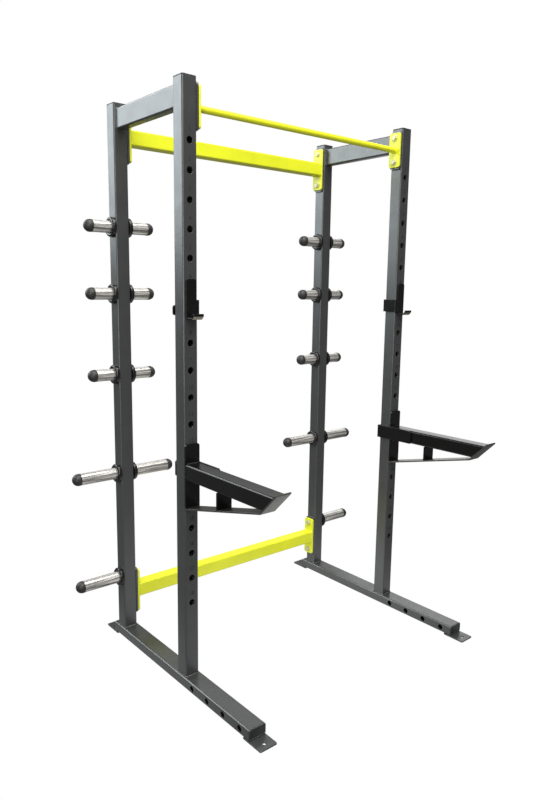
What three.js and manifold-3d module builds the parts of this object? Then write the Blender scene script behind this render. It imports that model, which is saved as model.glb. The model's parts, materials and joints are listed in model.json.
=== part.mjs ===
// Half rack (power cage) with pull-up bar, plate storage pegs, J-hooks and spotter arms.
// Millimetres, +Z up, +X to the user's right, the open front of the rack towards -Y.
// The origin is on the floor, at the centre of the object's box.

import * as THREE from 'three';
import { mergeVertices } from 'three/addons/utils/BufferGeometryUtils.js';
import Module from 'manifold-3d';

const wasm = await Module();
wasm.setup();

// ---------------------------------------------------------------- driving dimensions

// Overall frame
const rackHeight = 2265; // floor to the top of the upright caps
const frameSpacing = 1160; // centre to centre of the two side frames, along X
const uprightSpacing = 496; // centre to centre of the front and rear uprights, along Y

// Fits
const weldGap = 0.3; // between two pieces that touch
const weldLap = 0.5; // depth to which welded pieces of one node run into each other
const bracketClearance = 1; // between a hook or spotter bracket and its upright
const studClearance = 1; // radial, between a stud and its hole
const plugClearance = 0.5; // between a plastic plug and the inside of its tube

// Uprights
const uprightSize = 60;
const tubeWall = 3;
const tubeCorner = 7; // outside corner radius of the upright tube
const holeDiameter = 25;
const holePitch = 100;
const firstHoleHeight = 352;
const lastHoleDrop = 180; // least distance from the highest hole to the top of the tube
const capThickness = 5;
const plugDepth = 18;

// Foot rails and foot plates
const footRailWidth = 76;
const footRailHeight = 42;
const footRailCorner = 5;
const footRailFront = 437; // front upright centre to the front end of the rail
const footRailRear = 55; // rear upright centre to the rear end of the rail
const railCapThickness = 3;
const railHoleDiameter = 24;
const railHoleFirst = 82; // front upright centre to the first hole in the rail's sides
const railHolePitch = 100;
const railHoleCount = 4;
const footPlateThickness = 6;
const footPlateLength = 100;
const footPlateFrontReach = 64; // how far the front plate stands out past the rail
const footPlateRearReach = 72;
const anchorHoleDiameter = 14;
const anchorHoleInset = 26; // from the plate's outer end

// Top rails
const topRailWidth = 40;
const topRailHeight = 80;
const topRailCorner = 5;
const topRailDrop = 16; // from the top of the upright tube to the top of the rail

// Crossmembers: each runs between two end plates bolted to flanges on the uprights
const flangeThickness = 9;
const flangeMargin = 7; // how far a flange reaches past its end plate, above and below
const endPlateThickness = 9;
const plateCorner = 10;
const pullUpDrop = 92; // from the top of the upright tube to the bar's centre
const pullUpDiameter = 25;
const pullUpPlateHeight = 148;
const pullUpBoltSpacing = 103;
const crossSize = 60;
const crossCorner = 6;
const upperCrossDrop = 118;
const lowerCrossHeight = 206;
const crossPlateHeight = 196;
const crossBoltSpacing = 150;

// Bolts
const boltDiameter = 12;
const boltHole = 13;
const boltHeadFlats = 19;
const boltHeadHeight = 8;
const washerDiameter = 28;
const washerThickness = 2.5;
const boltInsideLength = 14; // how far the shank stands inside the upright
const ventDiameter = 10; // through each end plate, into the crossmember's tube

// Plate storage pegs
const lowestPegHeight = 282;
const highestPegDrop = 472; // from the top of the upright tube to the highest pegs
const pegSpread = [0, 0.314, 0.599, 0.822, 1]; // where the levels sit between those two
const longPegLevels = 2; // the lowest levels carry the long pegs
const sleeveDiameter = 48;
const shortPegLength = 125; // upright face to the tip of the end cap
const longPegLength = 208;
const collarRim = 16; // how far the collar stands out past the sleeve
const collarThickness = 16;
const pegCapWall = 2;
const pegCapSkirt = 8;
const sleeveWall = 5;

// J-hooks
const hookHoleFromTop = 5; // holes above the one that the stud sits in
const hookWidth = 43;
const hookThickness = 6;
const hookAboveStud = 28;
const hookBelowStud = 115; // stud centre to the underside of the lip
const hookLipReach = 34; // flat stretch of the lip
const hookLipRise = 10; // stretch of the lip that rises at 45 degrees
const hookRimHeight = 8; // upright stretch at the lip's end
const hookWrapThickness = 5;
const hookWrapTop = 46; // stud centre down to the top of the wrap-around strap
const hookWrapHeight = 56;
const hookReturnHeight = 36; // height of the tab at the end of the strap
const hookReturnOvershoot = 5; // how far that tab passes the upright's outer face

// Spotter arms
const spotterHoleFromBottom = 6; // holes below the one that the stud sits in
const spotterPlateThickness = 8;
const spotterAboveStud = 28;
const spotterBelowStud = 222; // stud centre to the underside of the brace
const armLength = 450; // upright's front face to the foot of the arm's slanted end
const armHeight = 60;
const armWall = 4;
const armTopBelowStud = 46;
const braceThickness = 6;
const braceBendBelowArm = 14; // bend of the brace below the arm's underside
const lipAboveArm = 9;
const gussetThickness = 8;
const gussetPlace = 206; // upright's front face to the middle of the gusset
const sidePlateThickness = 8;
const sidePlateReach = 131; // upright's front face to the front end of the side plate
const armReturnOvershoot = -1.5;
const tabCorner = 7; // cut off both corners of a bracket's tab
const studDepth = 34; // how far a stud reaches behind the bracket's back face

// ---------------------------------------------------------------- derived sizes

const half = uprightSize / 2;
const tubeTop = rackHeight - capThickness;
const railBottom = footPlateThickness + weldGap;
const railTop = railBottom + footRailHeight;
const uprightBottom = railTop + weldGap;
const holeCount = Math.floor((tubeTop - lastHoleDrop - firstHoleHeight) / holePitch) + 1;
const holeHeight = (index) => firstHoleHeight + index * holePitch;
const hookHeight = holeHeight(holeCount - 1 - hookHoleFromTop);
const spotterHeight = holeHeight(spotterHoleFromBottom);
const pullUpHeight = tubeTop - pullUpDrop;
const upperCrossHeight = tubeTop - upperCrossDrop;
const highestPegHeight = tubeTop - highestPegDrop;
const pegLevels = pegSpread.map((share) => lowestPegHeight + share * (highestPegHeight - lowestPegHeight));
const flangeFace = half + flangeThickness; // flange's outer face, from the upright's centre
const plateFace = flangeFace + weldGap + endPlateThickness;
const studDiameter = holeDiameter - 2 * studClearance;
const armHalf = half + bracketClearance + weldLap; // half the width of a spotter arm

// Spotter arm and brace, measured from the stud's axis (Z) and the front upright's centre (Y,
// counted towards the front)
const armTopLevel = -armTopBelowStud;
const armBottomLevel = armTopLevel - armHeight;
const armFoot = half + armLength; // foot of the arm's slanted end
const braceBaseLevel = -spotterBelowStud + braceThickness / 2;
const braceBendLevel = armBottomLevel - braceBendBelowArm + braceThickness / 2;
const braceTipLevel = armTopLevel + lipAboveArm;
const braceStandOff = (braceThickness / 2 + weldGap) * Math.SQRT2; // along Y, off the slanted end
const braceBend = armFoot + braceStandOff - (armBottomLevel - braceBendLevel);
const braceTip = braceBend + braceTipLevel - braceBendLevel;

// Front and rear ends of the whole object, from the front upright's centre
const braceEnd = braceTip + braceThickness / (2 * Math.SQRT2);
const frontEnd = Math.max(braceEnd, footRailFront + footPlateFrontReach);
const rearEnd = uprightSpacing + footRailRear + footPlateRearReach;

// ---------------------------------------------------------------- materials

const paint = (color, roughness, metalness) =>
  new THREE.MeshStandardMaterial({ color, roughness, metalness, flatShading: true });

const frameGrey = () => paint(0x3a3c3e, 0.42, 0.35);
const limeYellow = () => paint(0xcfd61e, 0.4, 0.1);
const glossBlack = () => paint(0x101010, 0.28, 0.3);
const chrome = () => paint(0xc9c8c2, 0.18, 1);
const blackPlastic = () => paint(0x1b1c1d, 0.6, 0);
const zincSteel = () => paint(0xb8b8a8, 0.35, 0.9);

// ---------------------------------------------------------------- shapes and solids

function roundedOutline(width, height, radius, steps = 3) {
  const corners = [
    [1, 1, 0],
    [-1, 1, 1],
    [-1, -1, 2],
    [1, -1, 3],
  ];
  const points = [];
  for (const [sx, sy, quarter] of corners) {
    for (let i = 0; i <= steps; i += 1) {
      const angle = (quarter + i / steps) * (Math.PI / 2);
      const x = sx * (width / 2 - radius) + radius * Math.cos(angle);
      const y = sy * (height / 2 - radius) + radius * Math.sin(angle);
      points.push(new THREE.Vector2(x, y));
    }
  }
  return points;
}

// Runs along +Z from 0 to depth
function extrude(points, depth, hole = null) {
  const shape = new THREE.Shape(points);
  if (hole) shape.holes.push(new THREE.Path(hole));
  return new THREE.ExtrudeGeometry(shape, { depth, bevelEnabled: false, curveSegments: 6 });
}

function squareTube(width, height, corner, wall, length) {
  const inner = roundedOutline(width - 2 * wall, height - 2 * wall, corner - wall);
  return extrude(roundedOutline(width, height, corner), length, inner);
}

// A box that spans the given low and high corners
function block(low, high) {
  const size = high.map((value, i) => value - low[i]);
  const geometry = new THREE.BoxGeometry(...size);
  return geometry.translate(...low.map((value, i) => value + size[i] / 2));
}

// A round bar along X or Y, from one place to the other
function roundBar(axis, from, to, diameter, segments = 16) {
  const geometry = new THREE.CylinderGeometry(diameter / 2, diameter / 2, to - from, segments);
  geometry.translate(0, (from + to) / 2, 0);
  return axis === 'x' ? geometry.rotateZ(-Math.PI / 2) : geometry;
}

// Outline of a flat bar bent along a centre line: corners are mitred
function bentBar(line, thickness) {
  const sides = [1, -1].map((sign) =>
    line.map((point, i) => {
      const into = i > 0 ? point.clone().sub(line[i - 1]).normalize() : null;
      const out = i < line.length - 1 ? line[i + 1].clone().sub(point).normalize() : null;
      const along = into && out ? into.clone().add(out).normalize() : into || out;
      const normal = new THREE.Vector2(-along.y, along.x);
      const stretch = into && out ? 1 / along.dot(into) : 1;
      return point.clone().addScaledVector(normal, (sign * stretch * thickness) / 2);
    }),
  );
  return [...sides[0], ...sides[1].reverse()];
}

function solid(geometry) {
  const bare = geometry.clone();
  bare.deleteAttribute('normal');
  bare.deleteAttribute('uv');
  const merged = mergeVertices(bare, 1e-4);
  const index = merged.getIndex().array;
  const triangles = [];
  for (let i = 0; i < index.length; i += 3) {
    const [a, b, c] = [index[i], index[i + 1], index[i + 2]];
    if (a !== b && b !== c && c !== a) triangles.push(a, b, c);
  }
  const mesh = new wasm.Mesh({
    numProp: 3,
    vertProperties: new Float32Array(merged.getAttribute('position').array),
    triVerts: new Uint32Array(triangles),
  });
  return new wasm.Manifold(mesh);
}

function surface(manifold) {
  const mesh = manifold.getMesh();
  const geometry = new THREE.BufferGeometry();
  geometry.setAttribute('position', new THREE.BufferAttribute(mesh.vertProperties, 3));
  geometry.setIndex(new THREE.BufferAttribute(mesh.triVerts, 1));
  return geometry;
}

function combine(added, cut = []) {
  let result = solid(added[0]);
  for (const geometry of added.slice(1)) result = result.add(solid(geometry));
  for (const geometry of cut) result = result.subtract(solid(geometry));
  return surface(result);
}

function part(name, geometry, material, position = [0, 0, 0]) {
  const mesh = new THREE.Mesh(geometry, material);
  mesh.name = name;
  mesh.position.set(...position);
  return mesh;
}

// ---------------------------------------------------------------- side frame

// Plate on the upright's inner face, lying in the YZ plane, from x = near to x = far
function facePlate(near, far, height, centre) {
  const outline = roundedOutline(uprightSize, height, plateCorner);
  const plate = extrude(outline, Math.abs(far - near));
  plate.rotateX(Math.PI / 2).rotateZ(Math.PI / 2);
  return plate.translate(Math.min(near, far), 0, centre);
}

function boltHoles(inward, height, spacing) {
  const near = half - tubeWall - 1;
  const far = flangeFace + 1;
  return [-1, 1].map((sign) => {
    const hole = roundBar('x', inward > 0 ? near : -far, inward > 0 ? far : -near, boltHole, 12);
    return hole.translate(0, 0, height + (sign * spacing) / 2);
  });
}

// One upright, with the flanges for its crossmembers welded to its inner face
function upright(inward, joints, studHoles) {
  const tube = squareTube(uprightSize, uprightSize, tubeCorner, tubeWall, tubeTop - uprightBottom);
  tube.translate(0, 0, uprightBottom);
  const welded = joints.map((joint) => {
    const near = inward * (half - weldLap);
    const height = joint.plateHeight + 2 * flangeMargin;
    return facePlate(near, inward * flangeFace, height, joint.height);
  });
  const cuts = joints.flatMap((joint) => boltHoles(inward, joint.height, joint.boltSpacing));
  for (let i = 0; i < studHoles; i += 1) {
    const hole = roundBar('y', -half - 1, -half + tubeWall + 1, holeDiameter);
    cuts.push(hole.translate(0, 0, holeHeight(i)));
  }
  return combine([tube, ...welded], cuts);
}

function uprightCap() {
  const insert = uprightSize - 2 * (tubeWall + plugClearance);
  const top = extrude(roundedOutline(uprightSize, uprightSize, tubeCorner), capThickness - weldGap);
  const plug = extrude(roundedOutline(insert, insert, tubeCorner - tubeWall), plugDepth + weldLap);
  return combine([top, plug.translate(0, 0, -plugDepth)]);
}

function footRail(from, to) {
  const tube = squareTube(footRailWidth, footRailHeight, footRailCorner, tubeWall, to - from);
  tube.rotateX(Math.PI / 2).translate(0, to, footRailHeight / 2);
  const cuts = [];
  for (let i = 0; i < railHoleCount; i += 1) {
    const place = -(railHoleFirst + i * railHolePitch);
    const hole = roundBar('x', -footRailWidth, footRailWidth, railHoleDiameter);
    cuts.push(hole.translate(0, place, footRailHeight / 2));
  }
  return combine([tube], cuts);
}

// Closes a rail's open end; outward is +1 for the rear end and -1 for the front end
function railCap(outward) {
  const insertWidth = footRailWidth - 2 * (tubeWall + plugClearance);
  const insertHeight = footRailHeight - 2 * (tubeWall + plugClearance);
  const cover = extrude(roundedOutline(footRailWidth, footRailHeight, footRailCorner), railCapThickness);
  const plug = extrude(
    roundedOutline(insertWidth, insertHeight, footRailCorner - tubeWall),
    plugDepth + weldLap,
  );
  const cap = combine([cover, plug.translate(0, 0, -plugDepth)]);
  return cap.rotateX((-outward * Math.PI) / 2).translate(0, 0, footRailHeight / 2);
}

function footPlate(outward) {
  const outline = roundedOutline(footRailWidth, footPlateLength, 6);
  const holePlace = outward * (footPlateLength / 2 - anchorHoleInset);
  const hole = new THREE.CylinderGeometry(anchorHoleDiameter / 2, anchorHoleDiameter / 2, 30, 16);
  hole.rotateX(Math.PI / 2).translate(0, holePlace, 0);
  return combine([extrude(outline, footPlateThickness)], [hole]);
}

function topRail() {
  const length = uprightSpacing - uprightSize - 2 * weldGap;
  const tube = squareTube(topRailWidth, topRailHeight, topRailCorner, tubeWall, length);
  return tube.rotateX(Math.PI / 2).translate(0, length, 0);
}

// ---------------------------------------------------------------- storage pegs

// Collar, hollow sleeve and domed end cap in one piece, along +X from the upright's face
function peg(length) {
  const sleeve = sleeveDiameter / 2;
  const cap = sleeve + pegCapWall;
  const collar = sleeve + collarRim;
  const domeStart = length - cap;
  const profile = [
    [0, 0],
    [collar, 0],
    [collar, collarThickness * 0.5],
    [collar - 6, collarThickness],
    [sleeve, collarThickness],
    [sleeve, domeStart - pegCapSkirt],
    [cap, domeStart - pegCapSkirt],
    [cap, domeStart],
  ].map(([r, along]) => new THREE.Vector2(r, along));
  const domeSteps = 3;
  for (let i = 1; i < domeSteps; i += 1) {
    const angle = (i / domeSteps) * (Math.PI / 2);
    profile.push(new THREE.Vector2(cap * Math.cos(angle), domeStart + cap * Math.sin(angle)));
  }
  profile.push(new THREE.Vector2(0, length));
  const outside = new THREE.LatheGeometry(profile, 14).rotateZ(-Math.PI / 2);
  const bore = roundBar('x', -1, domeStart, sleeveDiameter - 2 * sleeveWall, 14);
  return combine([outside], [bore]);
}

// ---------------------------------------------------------------- crossmembers

function crossmember(bar, plateHeight, boltSpacing) {
  const reach = frameSpacing / 2 - plateFace;
  const plates = [-1, 1].map((side) => {
    return facePlate(side * reach, side * (reach + endPlateThickness), plateHeight, 0);
  });
  const holes = [];
  for (const side of [-1, 1]) {
    for (const sign of [-1, 1]) {
      const from = side > 0 ? reach - 5 : -reach - endPlateThickness - 5;
      const hole = roundBar('x', from, from + endPlateThickness + 10, boltHole, 12);
      holes.push(hole.translate(0, 0, (sign * boltSpacing) / 2));
    }
    const ventFrom = side > 0 ? reach - 20 : -reach - endPlateThickness - 20;
    holes.push(roundBar('x', ventFrom, ventFrom + endPlateThickness + 40, ventDiameter, 8));
  }
  return combine([bar(reach + weldLap), ...plates], holes);
}

const roundCrossbar = (reach) => {
  const bar = new THREE.CylinderGeometry(pullUpDiameter / 2, pullUpDiameter / 2, 2 * reach, 20);
  return bar.rotateZ(Math.PI / 2);
};

const squareCrossbar = (reach) => {
  const bar = squareTube(crossSize, crossSize, crossCorner, tubeWall, 2 * reach);
  return bar.rotateY(Math.PI / 2).translate(-reach, 0, 0);
};

// Hexagon bolt with its washer: the head stands towards +X from the plate's face at x = 0
function bolt() {
  const shank = endPlateThickness + weldGap + flangeThickness + tubeWall + boltInsideLength;
  const seat = weldGap;
  const washer = roundBar('x', seat, seat + washerThickness, washerDiameter, 20);
  const headTop = seat + washerThickness + boltHeadHeight;
  const acrossCorners = boltHeadFlats / Math.cos(Math.PI / 6);
  const head = roundBar('x', seat + washerThickness - weldLap, headTop, acrossCorners, 6);
  return combine([washer, head, roundBar('x', -shank, seat + weldLap, boltDiameter, 12)]);
}

// ---------------------------------------------------------------- J-hook

// The hooks and spotters are drawn about their stud: the stud's axis is Y through the origin,
// and the bracket wraps round the side of the upright that inward points to.

function stud(backFace) {
  return roundBar('y', backFace - weldLap, backFace + studDepth, studDiameter);
}

function sideProfile(points, width) {
  // points are (y, z); the piece is centred on x = 0
  const body = extrude(points, width);
  return body.rotateX(Math.PI / 2).rotateZ(Math.PI / 2).translate(-width / 2, 0, 0);
}

// A plate behind the upright, from the bracket's side to just past the upright's far side.
// It is full height beside the bracket, slopes to tipHeight, and has its corners cut.
function returnTab(inward, height, tipHeight, overshoot, thickness) {
  const start = half + bracketClearance + weldLap;
  const tip = -half - overshoot;
  const outline = [
    [start, 0],
    [tip + tabCorner, 0],
    [tip, tabCorner],
    [tip, tipHeight - tabCorner],
    [tip + tabCorner, tipHeight],
    [-half / 2, tipHeight],
    [half / 2, height],
    [start, height],
  ].map(([x, z]) => new THREE.Vector2(inward * x, z));
  const tab = extrude(outline, thickness);
  return tab.rotateX(Math.PI / 2).translate(0, half + bracketClearance + thickness, 0);
}

function jHook(inward) {
  const back = -half - bracketClearance;
  const middle = back - hookThickness / 2;
  const bottom = -hookBelowStud + hookThickness / 2;
  const lipEnd = middle - hookThickness / 2 - hookLipReach;
  const profile = bentBar(
    [
      new THREE.Vector2(middle, hookAboveStud),
      new THREE.Vector2(middle, bottom),
      new THREE.Vector2(lipEnd, bottom),
      new THREE.Vector2(lipEnd - hookLipRise, bottom + hookLipRise),
      new THREE.Vector2(lipEnd - hookLipRise, bottom + hookLipRise + hookRimHeight),
    ],
    hookThickness,
  );
  const side = half + bracketClearance;
  const rear = side + hookWrapThickness;
  const strap = bentBar(
    [
      new THREE.Vector2(inward * (hookWidth / 2 - 6), back - hookWrapThickness / 2),
      new THREE.Vector2(inward * (side + hookWrapThickness / 2), back - hookWrapThickness / 2),
      new THREE.Vector2(inward * (side + hookWrapThickness / 2), rear),
    ],
    hookWrapThickness,
  );
  const wrapBottom = -hookWrapTop - hookWrapHeight;
  const wrap = extrude(strap, hookWrapHeight).translate(0, 0, wrapBottom);
  const tab = returnTab(
    inward,
    hookWrapHeight,
    hookReturnHeight,
    hookReturnOvershoot,
    hookWrapThickness,
  ).translate(0, 0, wrapBottom);
  return combine([sideProfile(profile, hookWidth), wrap, tab, stud(back)]);
}

// ---------------------------------------------------------------- spotter arm

function spotterArm(inward) {
  const back = -half - bracketClearance;
  const front = back - spotterPlateThickness;
  const plateBottom = -spotterBelowStud + braceThickness + weldGap;
  const plate = block([-armHalf, front, plateBottom], [armHalf, back, spotterAboveStud]);
  const farEnd = armFoot + armHeight;
  const tube = squareTube(2 * armHalf, armHeight, 5, armWall, farEnd + front + weldLap);
  tube.rotateX(Math.PI / 2).translate(0, front + weldLap, armTopLevel - armHeight / 2);
  // cuts the arm's end off at 45 degrees, rising towards the front
  const slant = [
    new THREE.Vector2(-armFoot + 1, armBottomLevel - 1),
    new THREE.Vector2(-farEnd - 1, armTopLevel + 1),
    new THREE.Vector2(-farEnd - 9, armTopLevel + 1),
    new THREE.Vector2(-farEnd - 9, armBottomLevel - 1),
  ];
  const side = half + bracketClearance;
  const rear = side + sidePlateThickness;
  const near = inward > 0 ? side : -rear;
  const sidePlate = block(
    [near, -half - sidePlateReach, armBottomLevel],
    [near + sidePlateThickness, rear, armTopLevel],
  );
  const tab = returnTab(inward, armHeight, armHeight, armReturnOvershoot, sidePlateThickness);
  tab.translate(0, 0, armBottomLevel);
  const arm = combine([tube], [sideProfile(slant, 4 * armHalf)]);
  return combine([arm, plate, sidePlate, tab, stud(back)]);
}

// Flat bar that runs from the foot of the plate to the arm's end and turns up over it, with
// the gusset that stands on it under the arm
function spotterBrace() {
  const start = half + bracketClearance;
  const slopeStart = start + spotterPlateThickness;
  const strap = sideProfile(
    bentBar(
      [
        new THREE.Vector2(-start, braceBaseLevel),
        new THREE.Vector2(-slopeStart, braceBaseLevel),
        new THREE.Vector2(-braceBend, braceBendLevel),
        new THREE.Vector2(-braceTip, braceTipLevel),
      ],
      braceThickness,
    ),
    2 * armHalf,
  );
  const place = half + gussetPlace;
  const rise = (braceBendLevel - braceBaseLevel) / (braceBend - slopeStart);
  const foot = braceBaseLevel + rise * (place - slopeStart);
  const gusset = block(
    [-armHalf, -place - gussetThickness / 2, foot],
    [armHalf, -place + gussetThickness / 2, armBottomLevel - weldGap],
  );
  return combine([strap, gusset]);
}

// ---------------------------------------------------------------- assembly

const group = new THREE.Group();
const rack = new THREE.Group();
rack.position.y = (frontEnd - rearEnd) / 2;
group.add(rack);

const joints = {
  pull_up: { height: pullUpHeight, plateHeight: pullUpPlateHeight, boltSpacing: pullUpBoltSpacing },
  upper: { height: upperCrossHeight, plateHeight: crossPlateHeight, boltSpacing: crossBoltSpacing },
  lower: { height: lowerCrossHeight, plateHeight: crossPlateHeight, boltSpacing: crossBoltSpacing },
};
const railEnds = [-footRailFront + railCapThickness, uprightSpacing + footRailRear - railCapThickness];

function addSideFrame(name, inward) {
  const frame = new THREE.Group();
  frame.position.x = (-inward * frameSpacing) / 2;
  const add = (piece, geometry, material, position) =>
    frame.add(part(`${name}_${piece}`, geometry, material, position));

  add('foot_rail', footRail(...railEnds), frameGrey(), [0, 0, railBottom]);
  add('front_rail_cap', railCap(-1), blackPlastic(), [0, railEnds[0] - weldGap, railBottom]);
  add('rear_rail_cap', railCap(1), blackPlastic(), [0, railEnds[1] + weldGap, railBottom]);
  const frontPlatePlace = -footRailFront - footPlateFrontReach + footPlateLength / 2;
  add('front_foot_plate', footPlate(-1), frameGrey(), [0, frontPlatePlace, 0]);
  add('rear_foot_plate', footPlate(1), frameGrey(), [0, rearEnd - footPlateLength / 2, 0]);

  add('front_upright', upright(inward, [joints.pull_up], holeCount), frameGrey());
  const rearJoints = [joints.upper, joints.lower];
  add('rear_upright', upright(inward, rearJoints, 0), frameGrey(), [0, uprightSpacing, 0]);
  const capHeight = tubeTop + weldGap;
  add('front_upright_cap', uprightCap(), blackPlastic(), [0, 0, capHeight]);
  add('rear_upright_cap', uprightCap(), blackPlastic(), [0, uprightSpacing, capHeight]);
  const topRailCentre = tubeTop - topRailDrop - topRailHeight / 2;
  add('top_rail', topRail(), frameGrey(), [0, half + weldGap, topRailCentre]);

  for (const [face, direction] of [['outer', -inward], ['inner', inward]]) {
    pegLevels.forEach((height, level) => {
      const isBehindLowerFlange = face === 'inner' && level === 0;
      if (isBehindLowerFlange) return;
      const shape = peg(level < longPegLevels ? longPegLength : shortPegLength);
      if (direction < 0) shape.rotateZ(Math.PI);
      const place = [direction * (half + weldGap), uprightSpacing, height];
      add(`${face}_peg_${level + 1}`, shape, chrome(), place);
    });
  }

  add('j_hook', jHook(inward), glossBlack(), [0, 0, hookHeight]);
  add('spotter_arm', spotterArm(inward), glossBlack(), [0, 0, spotterHeight]);
  add('spotter_brace', spotterBrace(), glossBlack(), [0, 0, spotterHeight]);
  rack.add(frame);
}

function addCrossmember(name, boltName, joint, place, bar) {
  const body = crossmember(bar, joint.plateHeight, joint.boltSpacing);
  rack.add(part(name, body, limeYellow(), [0, place, joint.height]));
  for (const [side, direction] of [['left', 1], ['right', -1]]) {
    for (const [level, sign] of [['lower', -1], ['upper', 1]]) {
      const shape = bolt();
      if (direction < 0) shape.rotateZ(Math.PI);
      const x = -direction * (frameSpacing / 2 - plateFace);
      const z = joint.height + (sign * joint.boltSpacing) / 2;
      rack.add(part(`${side}_${boltName}_${level}_bolt`, shape, zincSteel(), [x, place, z]));
    }
  }
}

addSideFrame('left', 1);
addSideFrame('right', -1);
addCrossmember('pull_up_bar', 'pull_up', joints.pull_up, 0, roundCrossbar);
addCrossmember('upper_crossmember', 'upper_cross', joints.upper, uprightSpacing, squareCrossbar);
addCrossmember('lower_crossmember', 'lower_cross', joints.lower, uprightSpacing, squareCrossbar);

export default group;
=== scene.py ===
"""Looks of a power cage: a half rack with a pull-up bar, storage pegs, J-hooks and spotter arms.

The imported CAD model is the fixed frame. Its plain solids are replaced here by finished pieces
whose places and sizes come from the frame's boxes. Metres, +Z up, the open front towards -Y.
"""

import json
import math

import bmesh
import bpy
from mathutils import Matrix, Vector


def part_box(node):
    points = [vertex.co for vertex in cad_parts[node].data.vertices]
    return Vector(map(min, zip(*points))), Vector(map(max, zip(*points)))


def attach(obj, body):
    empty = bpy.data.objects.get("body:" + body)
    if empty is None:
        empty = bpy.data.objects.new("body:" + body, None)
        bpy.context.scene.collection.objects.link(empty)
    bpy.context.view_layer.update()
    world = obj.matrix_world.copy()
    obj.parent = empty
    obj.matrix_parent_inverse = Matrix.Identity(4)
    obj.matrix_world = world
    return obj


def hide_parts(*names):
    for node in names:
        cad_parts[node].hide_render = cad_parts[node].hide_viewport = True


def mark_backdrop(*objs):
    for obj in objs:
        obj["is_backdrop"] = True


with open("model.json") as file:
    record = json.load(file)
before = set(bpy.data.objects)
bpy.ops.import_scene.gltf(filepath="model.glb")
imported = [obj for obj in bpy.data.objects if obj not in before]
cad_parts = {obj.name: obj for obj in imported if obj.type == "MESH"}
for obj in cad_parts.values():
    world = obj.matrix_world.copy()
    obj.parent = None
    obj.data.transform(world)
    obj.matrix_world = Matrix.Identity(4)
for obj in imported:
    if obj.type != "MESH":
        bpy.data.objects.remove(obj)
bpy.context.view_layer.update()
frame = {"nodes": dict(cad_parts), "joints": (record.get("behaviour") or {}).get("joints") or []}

MM = 0.001

# Sizes that the frame's boxes don't give
SEAM = 0.3 * MM  # between neighbouring pieces of the frame
TUBE_WALL = 3 * MM
UPRIGHT_CORNER = 6 * MM
RAIL_CORNER = 7 * MM
CROSS_CORNER = 6 * MM
PLATE_CORNER = 10 * MM
FLANGE_CORNER = 13 * MM
HOLE_DIAMETER = 25 * MM
HOLE_PITCH = 100 * MM
HOLE_COUNT = 18
FIRST_HOLE = 352 * MM
RAIL_HOLE_DIAMETER = 24 * MM
RAIL_HOLES = [82 * MM, 182 * MM, 282 * MM, 382 * MM]  # in front of the front upright's centre
ANCHOR_HOLE_DIAMETER = 14 * MM
ANCHOR_INSET = 26 * MM  # from the foot plate's outer end
FOOT_PLATE_CORNER = 6 * MM
PULL_UP_DIAMETER = 25 * MM
CROSS_SIZE = 60 * MM
PLATE_THICKNESS = 9 * MM
FLANGE_MARGIN = 7 * MM  # how far a flange reaches past its plate, above and below
BOLT_HOLE = 13 * MM
BOLT_SPACING = {"pull_up": 103 * MM, "upper_cross": 150 * MM, "lower_cross": 150 * MM}
CAP_RIM = 5 * MM  # width of the rim round a rail cap's recessed face
CAP_RECESS = 1.6 * MM
CAP_PLAY = 0.5 * MM  # between a cap's plug and the inside of its tube

# Numbers stamped above the holes
NUMBER_SIZE = 22 * MM
NUMBER_STROKE = 0.6 * MM
NUMBER_RELIEF = 0.15 * MM
NUMBER_RISE = 38 * MM

# Bolts
ACROSS_FLATS = 19 * MM
BOLT_HEAD = 8 * MM
BOLT_RADIUS = 6 * MM
WASHER_THICKNESS = 2.5 * MM
WASHER_RADIUS = 14 * MM
WASHER_BORE = 6.6 * MM

# Storage pegs
SLEEVE_DIAMETER = 49 * MM
SLEEVE_WALL = 4 * MM
COLLAR_THICKNESS = 16 * MM
COLLAR_ROUNDING = 7 * MM
PEG_CAP_WALL = 0.7 * MM
PEG_CAP_SKIRT = 8 * MM

# Brackets
STUD_DIAMETER = 23 * MM
STUD_DEPTH = 34 * MM
STUD_NOSE = 2 * MM
BRACKET_GAP = 1 * MM
TAB_CORNER = 7 * MM

# J-hook
HOOK_WIDTH = 43 * MM
HOOK_THICKNESS = 6 * MM
HOOK_CORNER = 9 * MM
HOOK_BEND = 5 * MM  # radius of the lip's bends
HOOK_LIP_SLANT = 10 * MM
HOOK_LIP_RIM = 8 * MM
HOOK_CUTTER_DEPTH = 200 * MM  # well past the lip
HOOK_WRAP_THICKNESS = 5 * MM
HOOK_WRAP_TOP = 46 * MM  # below the stud
HOOK_WRAP_HEIGHT = 56 * MM
HOOK_TAB_HEIGHT = 36 * MM
HOOK_TAB_OVERSHOOT = 5 * MM

# Spotter arm
ARM_HEIGHT = 60 * MM
ARM_TOP_BELOW_STUD = 46 * MM
ARM_FOOT = 450 * MM  # from the upright's front face to the foot of the slanted end
ARM_WALL = 4 * MM
ARM_CORNER = 8 * MM
SPOTTER_PLATE = 8 * MM
SPOTTER_CORNER = 10 * MM
BRACE_THICKNESS = 6 * MM
BRACE_BEND = 4 * MM
BRACE_BEND_DROP = 14 * MM
LIP_ABOVE_ARM = 9 * MM
GUSSET_PLACE = 206 * MM
GUSSET_THICKNESS = 8 * MM
SIDE_PLATE_REACH = 131 * MM
SIDE_PLATE_CORNER = 6 * MM
ARM_TAB_OVERSHOOT = -1.5 * MM

# Brightness of the room as a light; to the camera floor and background are plain white
STUDIO_AMBIENT = 0.13
FLOOR_BOUNCE = 0.2
FLOOR_POOL = 1.0  # the lit floor between the side frames
POOL_CENTRE = (0.15, 0.2, 0)
POOL_RADII = (0.1, 1.2)  # where the pool starts to fade and where it ends
FLOOR_REACH = 30

ARC_STEPS = 8  # segments in a quarter turn
EDGE = 0.7 * MM  # width of a softened edge
THROUGH = 10 * MM  # how far a cutter reaches past what it cuts

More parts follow.
